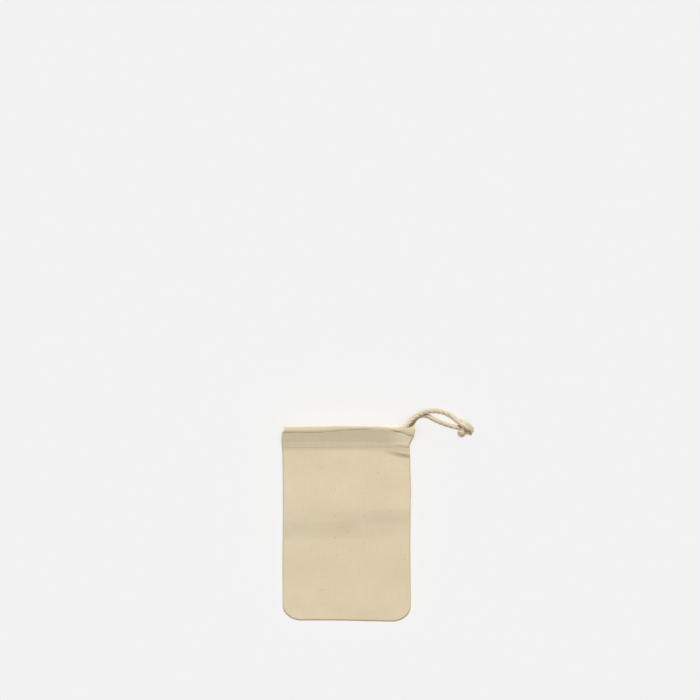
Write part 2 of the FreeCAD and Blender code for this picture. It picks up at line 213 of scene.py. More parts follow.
def tube(line, radii, sideCount, alongStart=0.0, squashZ=1.0):
    # rings round the line, closed at both ends; also each point's place along and round the thread
    ahead, sideA, sideB = carriedFrames(line)
    gaps = np.linalg.norm(np.diff(line, axis=0), axis=1)
    along = alongStart + np.concatenate([[0.0], np.cumsum(gaps)])
    verts = []
    space = []
    for i, centre in enumerate(line):
        for k in range(sideCount):
            angle = 2.0 * math.pi * k / sideCount
            out = sideA[i] * math.cos(angle) + sideB[i] * math.sin(angle)
            out = out * radii[i]
            out[2] *= squashZ
            verts.append(centre + out)
            space.append((along[i], radii[i] * math.cos(angle), radii[i] * math.sin(angle)))
    faces = []
    for i in range(len(line) - 1):
        for k in range(sideCount):
            a = i * sideCount + k
            b = i * sideCount + (k + 1) % sideCount
            faces.append((a, b, b + sideCount, a + sideCount))
    first = len(verts)
    verts.append(line[0] - ahead[0] * radii[0] * 0.4)
    verts.append(line[-1] + ahead[-1] * radii[-1] * 0.4)
    space.append((along[0], 0.0, 0.0))
    space.append((along[-1], 0.0, 0.0))
    last = (len(line) - 1) * sideCount
    for k in range(sideCount):
        n = (k + 1) % sideCount
        faces.append((first, n, k))
        faces.append((first + 1, last + k, last + n))
    return verts, faces, space


def joined(parts):
    verts = []
    faces = []
    space = []
    for v, f, s in parts:
        base = len(verts)
        verts.extend(v)
        space.extend(s)
        faces.extend([tuple(i + base for i in face) for face in f])
    return verts, faces, space


def joinedPiece(name, parts, finish):
    verts, faces, space = joined(parts)
    return meshPiece(name, verts, faces, finish, space)


def ropeParts(points, c, phase=0.0, taper=0.0, pressed=0.0):
    # the cord's strands, laid round each other along its line, and pressed thinner in the hems
    line, along = evenly(points, c["step"])
    sideA, sideB = carriedFrames(line)[1:]
    thin = 1.0 - pressed * (1.0 - smooth((line[:, 0] - c["freeFrom"]) / c["freeOver"]))
    parts = []
    for strand in range(c["strands"]):
        turn = phase + 2.0 * math.pi * (strand / c["strands"] + along / c["twistPitch"])
        swell = 1.0
        for size, rate, shift in c["unevenness"]:
            swell = swell + size * np.sin(along / mm * rate + strand * shift)
        swell = swell * thin
        lay = c["layRadius"] * swell
        centre = line + lay[:, None] * (
            sideA * np.cos(turn)[:, None] + sideB * np.sin(turn)[:, None]
        )
        radii = c["strandRadius"] * swell
        if taper > 0.0:
            toEnd = (along - along[-1] + c["taperLength"]) / c["taperLength"]
            radii = radii * (1.0 - taper * smooth(toEnd))
        parts.append(tube(centre, radii, c["sides"], alongStart=strand * 0.37))
    return parts, line


def socket(node, name, value):
    node.inputs[name].default_value = value


# finishes

clothLook = {
    "light": (0.765, 0.655, 0.468, 1.0),
    "deep": (0.705, 0.590, 0.400, 1.0),
    "fleck": (0.300, 0.190, 0.090, 1.0),
    "pitch": 0.46 * mm,
    "fleckEvery": 11.0 * mm,
    "fleckSize": 0.46 * mm,
    "fleckFray": 0.0006,
    "frayScale": 2600.0,
    "wander": 2.2,
    "reliefDepth": 0.06 * mm,
    "roughness": 0.92,
}
cordLook = {
    "light": (0.67, 0.575, 0.42, 1.0),
    "deep": (0.50, 0.405, 0.265, 1.0),
    "yarnPitch": 0.75 * mm,
    "relief": 0.05 * mm,
    "roughness": 0.95,
}
# painted light: the frayed end's cotton is made lighter than the cord's, to lift the shade it lies in
# under the knot's wraps
tuftPaintedLightLook = {
    "light": (0.78, 0.68, 0.51, 1.0),
    "deep": (0.63, 0.525, 0.365, 1.0),
    "yarnPitch": 0.75 * mm,
    "relief": 0.03 * mm,
    "roughness": 0.95,
}
# painted light: the thread is a lighter cotton than the cloth, to lift the shade on the stitches'
# beads
threadPaintedLightLook = {
    "light": (0.80, 0.70, 0.51, 1.0),
    "deep": (0.68, 0.57, 0.39, 1.0),
    "yarnPitch": 0.30 * mm,
    "relief": 0.02 * mm,
    "roughness": 0.8,
}


def newFinish(name):
    finish = bpy.data.materials.new(name)
    finish.use_nodes = True
    tree = finish.node_tree
    shader = tree.nodes["Principled BSDF"]
    return finish, tree, shader


def mathNode(tree, operation, a, b=None):
    node = tree.nodes.new("ShaderNodeMath")
    node.operation = operation
    for index, value in enumerate((a, b)):
        if value is None:
            continue
        if isinstance(value, (int, float)):
            node.inputs[index].default_value = value
        else:
            tree.links.new(value, node.inputs[index])
    return node.outputs[0]


def rampBetween(tree, value, low, high, toLow=0.0, toHigh=1.0):
    node = tree.nodes.new("ShaderNodeMapRange")
    node.interpolation_type = "SMOOTHSTEP"
    tree.links.new(value, node.inputs["Value"])
    socket(node, "From Min", low)
    socket(node, "From Max", high)
    socket(node, "To Min", toLow)
    socket(node, "To Max", toHigh)
    return node.outputs["Result"]


def mixColour(tree, share, a, b):
    node = tree.nodes.new("ShaderNodeMix")
    node.data_type = "RGBA"
    tree.links.new(share, node.inputs[0])
    for index, value in ((6, a), (7, b)):
        if isinstance(value, tuple):
            node.inputs[index].default_value = value
        else:
            tree.links.new(value, node.inputs[index])
    return node.outputs[2]


def stretchedNoise(tree, place, stretch, detail=2.0):
    mapping = tree.nodes.new("ShaderNodeMapping")
    tree.links.new(place, mapping.inputs["Vector"])
    mapping.inputs["Scale"].default_value = stretch
    noise = tree.nodes.new("ShaderNodeTexNoise")
    tree.links.new(mapping.outputs[0], noise.inputs["Vector"])
    socket(noise, "Scale", 1.0)
    socket(noise, "Detail", detail)
    return noise.outputs["Fac"]


def threadPlace(tree):
    place = tree.nodes.new("ShaderNodeAttribute")
    place.attribute_name = "threadSpace"
    return place.outputs["Vector"]


def makeMuslin(c):
    finish, tree, shader = newFinish("muslin")
    place = threadPlace(tree)
    split = tree.nodes.new("ShaderNodeSeparateXYZ")
    tree.links.new(place, split.inputs[0])
    # threads wander a little, so the weave isn't ruled
    wander = stretchedNoise(tree, place, (60.0, 60.0, 60.0), 1.0)
    drift = mathNode(tree, "MULTIPLY", wander, c["wander"])
    warp = mathNode(tree, "MULTIPLY", split.outputs["X"], math.pi / c["pitch"])
    weft = mathNode(tree, "MULTIPLY", split.outputs["Y"], math.pi / c["pitch"])
    warpWave = mathNode(tree, "SINE", mathNode(tree, "ADD", warp, drift))
    weftWave = mathNode(tree, "SINE", mathNode(tree, "ADD", weft, drift))
    overUnder = mathNode(tree, "MULTIPLY", warpWave, weftWave)
    warpHeight = mathNode(tree, "ABSOLUTE", warpWave)
    gaps = mathNode(tree, "MULTIPLY", warpHeight, mathNode(tree, "ABSOLUTE", weftWave))
    # thick and thin places in the yarn, along each direction
    slubAcross = stretchedNoise(tree, place, (70.0, 1500.0, 1.0), 3.0)
    slubDown = stretchedNoise(tree, place, (1500.0, 60.0, 1.0), 3.0)
    cloud = stretchedNoise(tree, place, (28.0, 34.0, 1.0), 3.0)
    slubs = mathNode(tree, "ADD", slubAcross, slubDown)
    tone = mathNode(tree, "ADD", mathNode(tree, "MULTIPLY", slubs, 0.85), cloud)
    toneShare = rampBetween(tree, tone, 0.95, 1.75)
    plain = mixColour(tree, toneShare, c["deep"], c["light"])
    # painted shade: the colour is darkened toward the deep tone in the gaps between the threads, where
    # the weave's grooves lie
    gapShadeShare = rampBetween(tree, gaps, 0.0, 0.5, 0.22, 0.0)
    wovenWithGapShade = mixColour(tree, gapShadeShare, plain, c["deep"])
    # bits of seed husk
    cells = tree.nodes.new("ShaderNodeTexVoronoi")
    cells.voronoi_dimensions = "2D"
    ragged = tree.nodes.new("ShaderNodeVectorMath")
    ragged.operation = "ADD"
    tree.links.new(place, ragged.inputs[0])
    fray = tree.nodes.new("ShaderNodeTexNoise")
    tree.links.new(place, fray.inputs["Vector"])
    socket(fray, "Scale", c["frayScale"])
    frayScale = tree.nodes.new("ShaderNodeVectorMath")
    frayScale.operation = "SCALE"
    tree.links.new(fray.outputs["Color"], frayScale.inputs[0])
    socket(frayScale, "Scale", c["fleckFray"])
    tree.links.new(frayScale.outputs[0], ragged.inputs[1])
    tree.links.new(ragged.outputs[0], cells.inputs["Vector"])
    socket(cells, "Scale", 1.0 / c["fleckEvery"])
    near = mathNode(tree, "MULTIPLY", cells.outputs["Distance"], c["fleckEvery"] / c["fleckSize"])
    chosen = tree.nodes.new("ShaderNodeSeparateColor")
    tree.links.new(cells.outputs["Color"], chosen.inputs[0])
    fewer = rampBetween(tree, chosen.outputs["Red"], 0.02, 0.48, 0.0, 1.2)
    sized = mathNode(tree, "ADD", near, fewer)
    fleckShare = rampBetween(tree, sized, 0.5, 1.25, 0.58, 0.0)
    speckled = mixColour(tree, fleckShare, wovenWithGapShade, c["fleck"])
    tree.links.new(speckled, shader.inputs["Base Color"])
    # yarn relief
    relief = mathNode(tree, "ADD", mathNode(tree, "MULTIPLY", overUnder, 0.35),
                      mathNode(tree, "MULTIPLY", gaps, 0.9))
    relief = mathNode(tree, "ADD", relief, mathNode(tree, "MULTIPLY", slubs, 0.8))
    bumpNode = tree.nodes.new("ShaderNodeBump")
    tree.links.new(relief, bumpNode.inputs["Height"])
    socket(bumpNode, "Distance", c["reliefDepth"])
    socket(bumpNode, "Strength", 0.8)
    tree.links.new(bumpNode.outputs[0], shader.inputs["Normal"])
    rough = rampBetween(tree, slubs, 0.6, 1.4, c["roughness"] - 0.08, c["roughness"])
    tree.links.new(rough, shader.inputs["Roughness"])
    socket(shader, "Specular IOR Level", 0.2)
    socket(shader, "Sheen Weight", 0.12)
    socket(shader, "Sheen Roughness", 0.6)
    return finish


def makeYarn(name, c):
    # spun cotton: fine yarns winding round the strand, with loose fuzz tone; the colour is also darker
    # in the grooves between the wound yarns, as painted shade
    finish, tree, shader = newFinish(name)
    place = threadPlace(tree)
    split = tree.nodes.new("ShaderNodeSeparateXYZ")
    tree.links.new(place, split.inputs[0])
    angle = mathNode(tree, "ARCTAN2", split.outputs["Z"], split.outputs["Y"])
    along = mathNode(tree, "MULTIPLY", split.outputs["X"], 2.0 * math.pi / c["yarnPitch"])
    wander = stretchedNoise(tree, place, (900.0, 900.0, 900.0), 2.0)
    wound = mathNode(tree, "ADD", along, mathNode(tree, "MULTIPLY", angle, -2.0))
    wound = mathNode(tree, "ADD", wound, mathNode(tree, "MULTIPLY", wander, 3.0))
    yarn = mathNode(tree, "SINE", wound)
    fuzz = stretchedNoise(tree, place, (700.0, 2600.0, 2600.0), 4.0)
    blotch = stretchedNoise(tree, place, (260.0, 420.0, 420.0), 2.0)
    # painted shade: the yarn wave darkens the colour in the grooves between the wound yarns; fuzz and
    # blotch are random tone
    tone = mathNode(tree, "ADD", mathNode(tree, "MULTIPLY", yarn, 0.16), fuzz)
    tone = mathNode(tree, "ADD", tone, blotch)
    share = rampBetween(tree, tone, 0.62, 1.35)
    tree.links.new(mixColour(tree, share, c["deep"], c["light"]), shader.inputs["Base Color"])
    bumpNode = tree.nodes.new("ShaderNodeBump")
    relief = mathNode(tree, "ADD", yarn, mathNode(tree, "MULTIPLY", fuzz, 1.5))
    tree.links.new(relief, bumpNode.inputs["Height"])
    socket(bumpNode, "Distance", c["relief"])
    socket(bumpNode, "Strength", 0.9)
    tree.links.new(bumpNode.outputs[0], shader.inputs["Normal"])
    rough = rampBetween(tree, fuzz, 0.3, 0.7, c["roughness"] - 0.1, c["roughness"])
    tree.links.new(rough, shader.inputs["Roughness"])
    socket(shader, "Specular IOR Level", 0.15)
    socket(shader, "Sheen Weight", 0.25)
    socket(shader, "Sheen Roughness", 0.5)
    return finish


def makePaleFloor(c):
    finish, _, shader = newFinish("paleFloor")
    socket(shader, "Base Color", (c["tone"], c["tone"], c["tone"], 1.0))
    socket(shader, "Emission Color", (1.0, 1.0, 1.0, 1.0))
    socket(shader, "Emission Strength", c["glow"])
    socket(shader, "Roughness", 1.0)
    socket(shader, "Specular IOR Level", 0.0)
    return finish


# the pouch's cut and the way it lies, in millimetres

pouchSet = {
    "left": -52.6,
    "right": 48.9,
    "bottom": -77.4,
    "top": 77.0,
    "corner": 12.0,
    "cornerStretch": 1.25,  # the corners are turned wider than they are tall
    "stitchY": 60.7,
    "lowTop": 4.9,  # top of the cloth at the bottom seam
    "highTop": 9.5,  # and just below the hem
    "seamShare": 0.42,  # how far up the side the seam lies
    "seamRise": (50.0, 14.0),  # where it starts to climb to the mouth, and over how far
    "mouthSeamZ": 6.95,
    "edgeRoll": 1.5,
    "backRoll": 3.6,
    "rollPower": 2.3,
    "backZ": 0.2,
    "cloth": 0.35 * mm,
    "slitLeft": -46.0,  # the hems stop short of the far seam, where the cord turns
    "slitRight": 40.2,  # and open out at the cord's way out
    "endCut": (39.0, 42.2),  # between the tunnel's inner ply and the opened end
    "innerFrom": 0.70,  # the share of the fold that lies inside the tunnel's slit
    "exitX": 47.0,
    "gatherSpan": 99.5,
    "gatherFoot": -16.0,
}

# how the sides leave the straight: size, place and reach of each, or size, length and shift of a wave
edgeSet = {
    "leftSwell": (0.7, 65.5, 7.0),
    "leftDrawIn": (1.9, 71.0, 6.5),
    "leftWave": (0.22, 17.0, 0.6),
    "rightWave": (0.35, 21.0, -0.8),
    "rightNip": (0.5, 60.0, 5.0),
    "rightWaist": (0.8, 20.0, 32.0),
    "waistEnd": (1.0, 60.0, 8.0),
    "rightFlare": (3.1, 61.5, 11.5),
    "rightTip": (0.6, 74.0, 3.0),
    "waveStart": (1.0, -70.0, 15.0),
    "bottomWave": (0.25, 33.0, 60.0),
    "bottomSag": (0.75, -20.0, 55.0),
    "bottomReach": (-30.0, 45.0),
}

# the crease below the ridge
creaseSet = {
    "y": 71.7,
    "rise": (2.7, -32.0, 46.0),
    "dip": (6.2, 20.0, 30.0),
    "dipPower": 1.8,
}

# a broad fold line across the middle, in two soft reaches: height, foot and width of each
foldSet = {
    "slant": 0.03,
    "left": (1.25, -13.0, 17.0),
    "right": (1.05, -3.0, 15.0),
    "meet": (1.0, -8.0, 26.0),
    "farLoss": 0.65,
    "fallAway": (1.1, 8.0, 52.0),
    "rippleFrom": (1.0, -16.0, 76.0),
    "ripple": 0.055,
    "rumpleFrom": (1.0, -77.0, 10.0),
}

# gathers below the cord's way out: height, foot, width and fall, and where along the hem each comes in
pleatSlant = (0.19, 48.0)
pleatSet = [
    {"height": 1.45, "shape": (50.8, 4.2, 20.0), "from": (24.0, 20.0)},
    {"height": 0.25, "shape": (56.2, 1.5, 6.0), "from": (35.0, 9.0)},
    {"height": 0.34, "shape": (59.2, 1.6, 8.0), "from": (35.0, 9.0)},
]

# the hem: a step up at the stitching, a raised stripe and a band that climbs to the crease
hemSet = {
    "step": 0.72,
    "stepFoot": 55.4,
    "stepWidth": 7.0,
    "stepPower": 1.7,
    "bandFoot": 62.6,
    "bandSlope": 0.290,
    "bandLoss": (0.12, 28.0, 14.0),
    "stripe": (0.13, 62.9, 0.9),
    "groove": 0.12,
    "grooveWidth": 0.5,
    "pucker": 0.05,
    "puckerWidth": 1.2,
}

# the folds round the drawcord; the front one goes in stages, each a share of the way round
wrapSet = {
    "cordY": 74.6,
    "frontZ": 11.5,
    "backZ": 2.42,
    "radius": 2.3,
    "backLess": 0.12,
    "edge": 2.2,  # the fold's edge beyond the cord's middle
    "roll": 0.25,
    "loose": 0.5,  # the cloth stands this far off the cord
    "overEnd": 0.42,
    "overPower": 1.25,
    "turnShare": 0.30,
    "dropStart": 0.72,
    "dropShare": 0.09,
    "dropIn": 0.25,
    "curlStart": 0.81,
    "curlShare": 0.19,
    "climbPower": 3.9,
    "crownFall": (0.07, 0.72, 0.28),
    "facingRise": 0.75,
    "facingLow": 0.85,
}

# how the mouth line leaves the straight: size, place and reach
mouthSet = {
    "middle": (0.25, -7.0, 22.0),
    "frontDip": (1.15, 22.0, 19.0),
    "dipEnd": (1.0, 43.0, 6.0),
    "farFall": (0.35, 20.0, 30.0),
    "fade": (1.0, 71.0, 5.0),
}

# at the cord's way out the hems stand open and their ends are turned in
openSet = {
    "from": (1.0, 38.5, 4.5),
    "seamFrom": (1.0, 61.5, 9.0),
    "seamTop": 13.0,
    "seamUnder": 0.5,
    "archEnd": 0.62,
    "edgeY": 76.95,
    "edgeFall": 1.25,
    "edgeFrom": (1.0, 46.0, 5.0),
    "archPower": 0.9,
    "archTop": 14.1,
    "archSpread": 2.0,
    "archSag": 0.3,
    "tuckRun": 3.4,
    "tuckPower": 1.4,
    "tuckBow": 0.25,
    "tuckDrop": 0.75,
    "tuckRise": 0.30,
    "facingY": 73.55,
    "facingRun": 2.0,
    "facingZ": 13.15,
    "facingClimb": 0.1,
    "backRun": 2.0,
    "backTuck": 3.0,
    "backThick": 0.42,
    "backFacingY": 73.6,
    "backFacingZ": 0.47,
}

# points of the cloth: how many, and how far apart
rowSet = {
    "edge": 8,
    "across": 118,
    "columnInset": 0.7,
    "rowInset": 0.9,
    "coarse": 1.35,
    "coarseEnd": 47.0,
    "fineStart": 47.4,
    "frontFine": 0.6,
    "frontShort": 0.3,
    "backFine": 0.8,
    "backEnd": 73.6,
    "band": 26,
    "bandPower": 1.3,
    "frontWrap": 30,
    "frontFacing": 12,
    "backWrap": 18,
    "backFacing": 14,
}


def ramp(t, size, start, over):
    return size * smooth((t - start) / over)


def hill(t, size, centre, width):
    return size * bump(t, centre, width)


def wave(t, size, length, shift):
    return size * np.sin(t / length + shift)


def bottomLine(x):
    size, length, shift = edgeSet["bottomWave"]
    sway = size * np.sin((x + shift) / length)
    return pouchSet["bottom"] + sway - ramp(x, *edgeSet["bottomSag"])


def toBottomLine(x, y):
    start, over = edgeSet["bottomReach"]
    return y + (bottomLine(x) - pouchSet["bottom"]) * smooth((start - y) / over)


def sideLines(y):
    # left and right edge of the cloth at each height
    p = pouchSet
    e = edgeSet
    radius = p["corner"]
    inCorner = np.clip(p["bottom"] + radius - y, 0.0, radius)
    cut = radius - np.sqrt(np.maximum(radius ** 2 - inCorner ** 2, 0.0))
    cut = cut * p["cornerStretch"]
    waves = ramp(y, *e["waveStart"])
    left = p["left"] + cut
    left = left - hill(y, *e["leftSwell"]) + ramp(y, *e["leftDrawIn"])
    left = left + wave(y, *e["leftWave"]) * waves
    right = p["right"] - cut
    right = right + wave(y, *e["rightWave"]) * waves
    right = right - hill(y, *e["rightNip"])
    right = right - ramp(y, *e["rightWaist"]) * (1.0 - ramp(y, *e["waistEnd"]))
    right = right + ramp(y, *e["rightFlare"]) - ramp(y, *e["rightTip"])
    return left, right


def edgeDistance(x, y, left, right):
    p = pouchSet
    radius = p["corner"]
    low = p["bottom"]
    straight = np.minimum(np.minimum(x - left, right - x), y - low)
    wide = radius * p["cornerStretch"]
    dx = np.maximum(p["left"] + wide - x, x - (p["right"] - wide)) / p["cornerStretch"]
    dy = low + radius - y
    rounded = radius - np.hypot(dx, dy)
    return np.maximum(np.where((dx > 0.0) & (dy > 0.0), rounded, straight), 0.0)


def creaseLine(x):
    # it rises mid-way and dips under the cord's way out
    size, start, over = creaseSet["dip"]
    dip = size * smooth((x - start) / over) ** creaseSet["dipPower"]
    return creaseSet["y"] + ramp(x, *creaseSet["rise"]) - dip


def wedgeTop(y):
    p = pouchSet
    height = p["highTop"] - p["lowTop"]
    return p["lowTop"] + height * (y - p["bottom"]) / (p["stitchY"] - p["bottom"])


def rumple(x, y):
    # soft unevenness of cotton that has been folded and laid flat
    height = 0.10 * np.sin(x / 13.0 + 1.3) * np.sin(y / 17.0 + 0.4)
    height = height + 0.07 * np.sin(x / 7.3 - y / 19.0 + 2.0)
    height = height + 0.06 * np.sin(y / 6.1 + x / 31.0)
    height = height + 0.035 * np.sin(x / 3.4 + 0.7 * np.sin(y / 9.0))
    return height


def pleat(t, foot, width, fall):
    # climbs over its width, then falls away slowly
    return smooth((t - foot) / width) * (1.0 - smooth((t - foot - width) / fall))


def foldsAndGathers(x, y):
    f = foldSet
    leftReach = 1.0 - ramp(x, *f["meet"])
    slanted = f["slant"] * x
    height, foot, width = f["left"]
    z = height * smooth((y - foot - slanted) / width) * (1.0 - f["farLoss"] + f["farLoss"] * leftReach)
    height, foot, width = f["right"]
    z = z + height * smooth((y - foot - slanted) / width) * (1.0 - f["farLoss"] * leftReach)
    z = z - ramp(y, *f["fallAway"])
    z = z + rumple(x, y) * ramp(y, *f["rumpleFrom"])
    along = y - pleatSlant[0] * (pleatSlant[1] - x)
    for fold in pleatSet:
        start, over = fold["from"]
        z = z + fold["height"] * smooth((x - start) / over) * pleat(along, *fold["shape"])
    # small ripples that grow toward the mouth
    z = z + f["ripple"] * ramp(y, *f["rippleFrom"]) * np.sin(x * 0.86 + 0.5 * np.sin(y / 11.0))
    return z


def frontTop(x, y):
    h = hemSet
    stitchY = pouchSet["stitchY"]
    z = wedgeTop(np.minimum(y, stitchY)) + foldsAndGathers(x, y)
    crease = creaseLine(x)
    step = np.clip((y - h["stepFoot"]) / h["stepWidth"], 0.0, 1.0)
    z = z + h["step"] * smooth(step ** h["stepPower"])
    band = crease - h["bandFoot"]
    climb = np.clip((y - h["bandFoot"]) / np.maximum(band, 1.0), 0.0, 1.0)
    z = z + h["bandSlope"] * np.maximum(band, 0.0) * climb * (1.0 - ramp(x, *h["bandLoss"]))
    z = z + hill(y, *h["stripe"])
    z = z - h["groove"] * bump(y, stitchY, h["grooveWidth"])
    pucker = np.sin(x * 2.0 * math.pi / stitchSet["pitch"])
    return z + h["pucker"] * pucker * bump(y, stitchY, h["puckerWidth"])


def sideRoll(distance, reach):
    u = np.clip(1.0 - distance / reach, 0.0, 1.0)
    power = pouchSet["rollPower"]
    return (1.0 - u ** power) ** (1.0 / power)


def seamHeight(y):
    p = pouchSet
    start, over = p["seamRise"]
    low = p["seamShare"] * wedgeTop(np.minimum(y, p["stitchY"]))
    return low + (p["mouthSeamZ"] - low) * smooth((y - start) / over)


def edgeTurn():
    # places round a turned edge, closer together at its outside
    roll = pouchSet["edgeRoll"]
    angles = np.linspace(0.0, math.pi / 2.0, rowSet["edge"])
    return [roll * (1.0 - math.cos(angle)) for angle in angles]


def columnPlaces():
    # across the cloth, closer together where it turns over at the side seams
    width = pouchSet["right"] - pouchSet["left"]
    turn = edgeTurn()
    inset = rowSet["columnInset"]
    inner = np.linspace(turn[-1] + inset, width - turn[-1] - inset, rowSet["across"])
    return np.concatenate([turn, inner, [width - t for t in reversed(turn)]]) / width


def bodyRows(end, fine):
    r = rowSet
    low = pouchSet["bottom"]
    turn = edgeTurn()
    places = np.concatenate([
        [low + t for t in turn],
        np.arange(low + turn[-1] + r["rowInset"], r["coarseEnd"], r["coarse"]),
        np.arange(r["fineStart"], end, fine),
    ])
    return [("flat", y) for y in places]


def shares(kind, count, first=1):
    return [(kind, k / (count - 1.0)) for k in range(first, count)]


def gridOf(makeRow, rows):
    across = columnPlaces()
    return np.array([makeRow(kind, value, across) for kind, value in rows])


def layFront():
    # body, the band up to the crease, round the cord, and the turned-in ply
    r = rowSet
    rows = bodyRows(pouchSet["stitchY"] - r["frontShort"], r["frontFine"])
    for kind, value in shares("band", r["band"], 0):
        rows.append((kind, 1.0 - (1.0 - value) ** r["bandPower"]))
    rows += shares("arc", r["frontWrap"]) + shares("facing", r["frontFacing"])
    return gridOf(frontRow, rows), rows


def layBack():
    r = rowSet
    rows = bodyRows(r["backEnd"], r["backFine"])
    rows += shares("arc", r["backWrap"], 0) + shares("facing", r["backFacing"])
    return gridOf(backRow, rows), rows


def wrapStages(value):
    # over the cord to the folded edge, round it, down its far side and back under the cord
    w = wrapSet
    over = np.clip(value / w["overEnd"], 0.0, 1.0) ** w["overPower"]
    bend = np.clip((value - w["overEnd"]) / w["turnShare"], 0.0, 1.0) * math.pi / 2.0
    drop = np.clip((value - w["dropStart"]) / w["dropShare"], 0.0, 1.0)
    curl = np.clip((value - w["curlStart"]) / w["curlShare"], 0.0, 1.0) * math.pi / 2.0
    return over, bend, drop, curl


def wrapHeight(x, low, stages):
    w = wrapSet
    over, bend, drop, curl = stages
    highest = w["frontZ"] + w["radius"] + w["loose"]
    climbed = 1.0 - (1.0 - over) ** w["climbPower"]
    z = low + (highest - low) * climbed - ramp(over, *w["crownFall"])
    z = z - w["roll"] * (1.0 - np.cos(bend))
    z = z + (w["frontZ"] - z) * drop - w["radius"] * np.sin(curl)
    return z + (0.05 * np.sin(x / 5.3) + 0.03 * np.sin(x / 1.9 + 1.0)) * (1.0 - drop)


def mouthWander(x, y, dip):
    m = mouthSet
    size, start, over = m["farFall"]
    farFall = size * smooth((-x - start) / over)
    return y + (hill(x, *m["middle"]) - dip - farFall) * ramp(y, *m["fade"])


def openArch(value, x, crease):
    # the front hem's open end, arched over the cord, then turned in
    o = openSet
    top = np.clip(value / o["archEnd"], 0.0, 1.0)
    edgeY = o["edgeY"] - o["edgeFall"] * (1.0 - ramp(x, *o["edgeFrom"]))
    y = crease + (edgeY - crease) * np.sin(top * math.pi / 2.0) ** o["archPower"]
    low = frontTop(x, crease)
    reach = np.maximum(y - crease, 0.0)
    z = low + (o["archTop"] - low) * (1.0 - np.exp(-reach / o["archSpread"])) - o["archSag"] * top ** 5
    tuck = np.clip((value - o["archEnd"]) / (1.0 - o["archEnd"]), 0.0, 1.0)
    y = y - o["tuckRun"] * tuck ** o["tuckPower"] + o["tuckBow"] * np.sin(tuck * math.pi)
    drop = np.sin(np.minimum(tuck * 2.0, 1.0) * math.pi / 2.0)
    return y, z - o["tuckDrop"] * drop + o["tuckRise"] * tuck


def closeSides(kind, x, y, z, seam, openSeam, roll):
    # the edges come round to the side seam, which opens out beside the cord's way out
    openEnd = ramp(y, *openSet["seamFrom"]) * (x > 0.0)
    seam = seam + (openSeam - seam) * openEnd
    z = seam + (z - seam) * roll
    if kind == "flat":
        y = toBottomLine(x, y)
    return np.stack([x, y, z], axis=1)


def frontRow(kind, value, share):
    p = pouchSet
    w = wrapSet
    o = openSet
    if kind == "flat":
        y = np.full(len(share), value)
        left, right = sideLines(y)
    else:
        crease = creaseLine(p["left"] + share * (p["right"] - p["left"]))
        if kind == "band":
            y = p["stitchY"] + (crease - p["stitchY"]) * value
        elif kind == "arc":
            stages = wrapStages(value)
            over, bend, drop, curl = stages
            y = crease + (w["cordY"] + w["edge"] - w["roll"] - crease) * over
            y = y + w["roll"] * np.sin(bend) - w["dropIn"] * drop
            y = y - (w["edge"] - w["dropIn"]) * (1.0 - np.cos(curl))
        else:
            y = w["cordY"] - (w["cordY"] - p["stitchY"] - 0.4) * value
        left, right = sideLines(np.minimum(y, p["top"]))
    x = left + share * (right - left)
    roll = sideRoll(edgeDistance(x, y, left, right), p["edgeRoll"])
    seam = seamHeight(y)
    if kind in ("flat", "band"):
        z = frontTop(x, y)
    elif kind == "arc":
        z = wrapHeight(x, frontTop(x, crease), stages)
    else:
        z = (w["frontZ"] - w["radius"]) + w["facingRise"] * value ** 2
    dip = ramp(x, *mouthSet["frontDip"]) * (1.0 - ramp(x, *mouthSet["dipEnd"]))
    y = mouthWander(x, y, dip)
    lift = ramp(x, *o["from"])
    if kind == "arc":
        archY, archZ = openArch(value, x, crease)
        y = y + (archY - y) * lift
        z = z + (archZ - z) * lift
    elif kind == "facing":
        y = y + (o["facingY"] - o["facingRun"] * value - y) * lift
        z = z + (o["facingZ"] + o["facingClimb"] * value - z) * lift
    openSeam = np.minimum(z, o["seamTop"]) - o["seamUnder"]
    return closeSides(kind, x, y, z, seam, openSeam, roll)


def backRow(kind, value, share):
    p = pouchSet
    w = wrapSet
    o = openSet
    ridge = w["radius"] - w["backLess"]
    if kind == "flat":
        y = np.full(len(share), value)
    elif kind == "arc":
        angle = -math.pi / 2.0 + math.pi * value
        y = np.full(len(share), w["cordY"] + ridge * math.cos(angle))
    else:
        y = np.full(len(share), w["cordY"] - (w["cordY"] - p["stitchY"] - 0.3) * value)
    left, right = sideLines(np.minimum(y, p["top"]))
    x = left + share * (right - left)
    # the roll at the edge narrows toward the mouth
    reach = p["backRoll"] + (p["edgeRoll"] - p["backRoll"]) * smooth((y - 52.0) / 9.0)
    roll = sideRoll(edgeDistance(x, y, left, right), reach)
    seam = seamHeight(y)
    if kind == "flat":
        uneven = np.abs(rumple(x * 1.1 + 9.0, y * 0.9)) * ramp(y, *foldSet["rumpleFrom"])
        z = p["backZ"] + 0.06 + 0.5 * uneven
        z = z + 0.45 * bump(y, p["stitchY"], 0.6) - 0.04
        z = z + ramp(x, 0.12, 30.0, 15.0) * bump(y, 55.0, 2.0)
    elif kind == "arc":
        z = np.full(len(share), w["backZ"] + ridge * math.sin(angle))
    else:
        top = w["backZ"] + ridge
        z = top - (top - w["facingLow"]) * smooth(np.full(len(x), value)) + wave(x, 0.04, 3.1, 0.0)
    y = mouthWander(x, y, 0.0)
    lift = ramp(x, *o["from"])
    if kind == "arc":
        outward = math.sin(min(value / 0.5, 1.0) * math.pi / 2.0)
        openY = w["cordY"] + o["backRun"] * outward - o["backTuck"] * max(value - 0.5, 0.0) * 2.0
        openZ = p["backZ"] + 0.05 + o["backThick"] * min(1.0, max(0.0, (value - 0.35) / 0.3))
        y = y + (openY - y) * lift
        z = z + (openZ - z) * lift
    elif kind == "facing":
        y = y + (o["backFacingY"] - o["facingRun"] * value - o["backRun"] - y) * lift
        z = z + (p["backZ"] + o["backFacingZ"] - z) * lift
    return closeSides(kind, x, y, z, seam, z, roll)


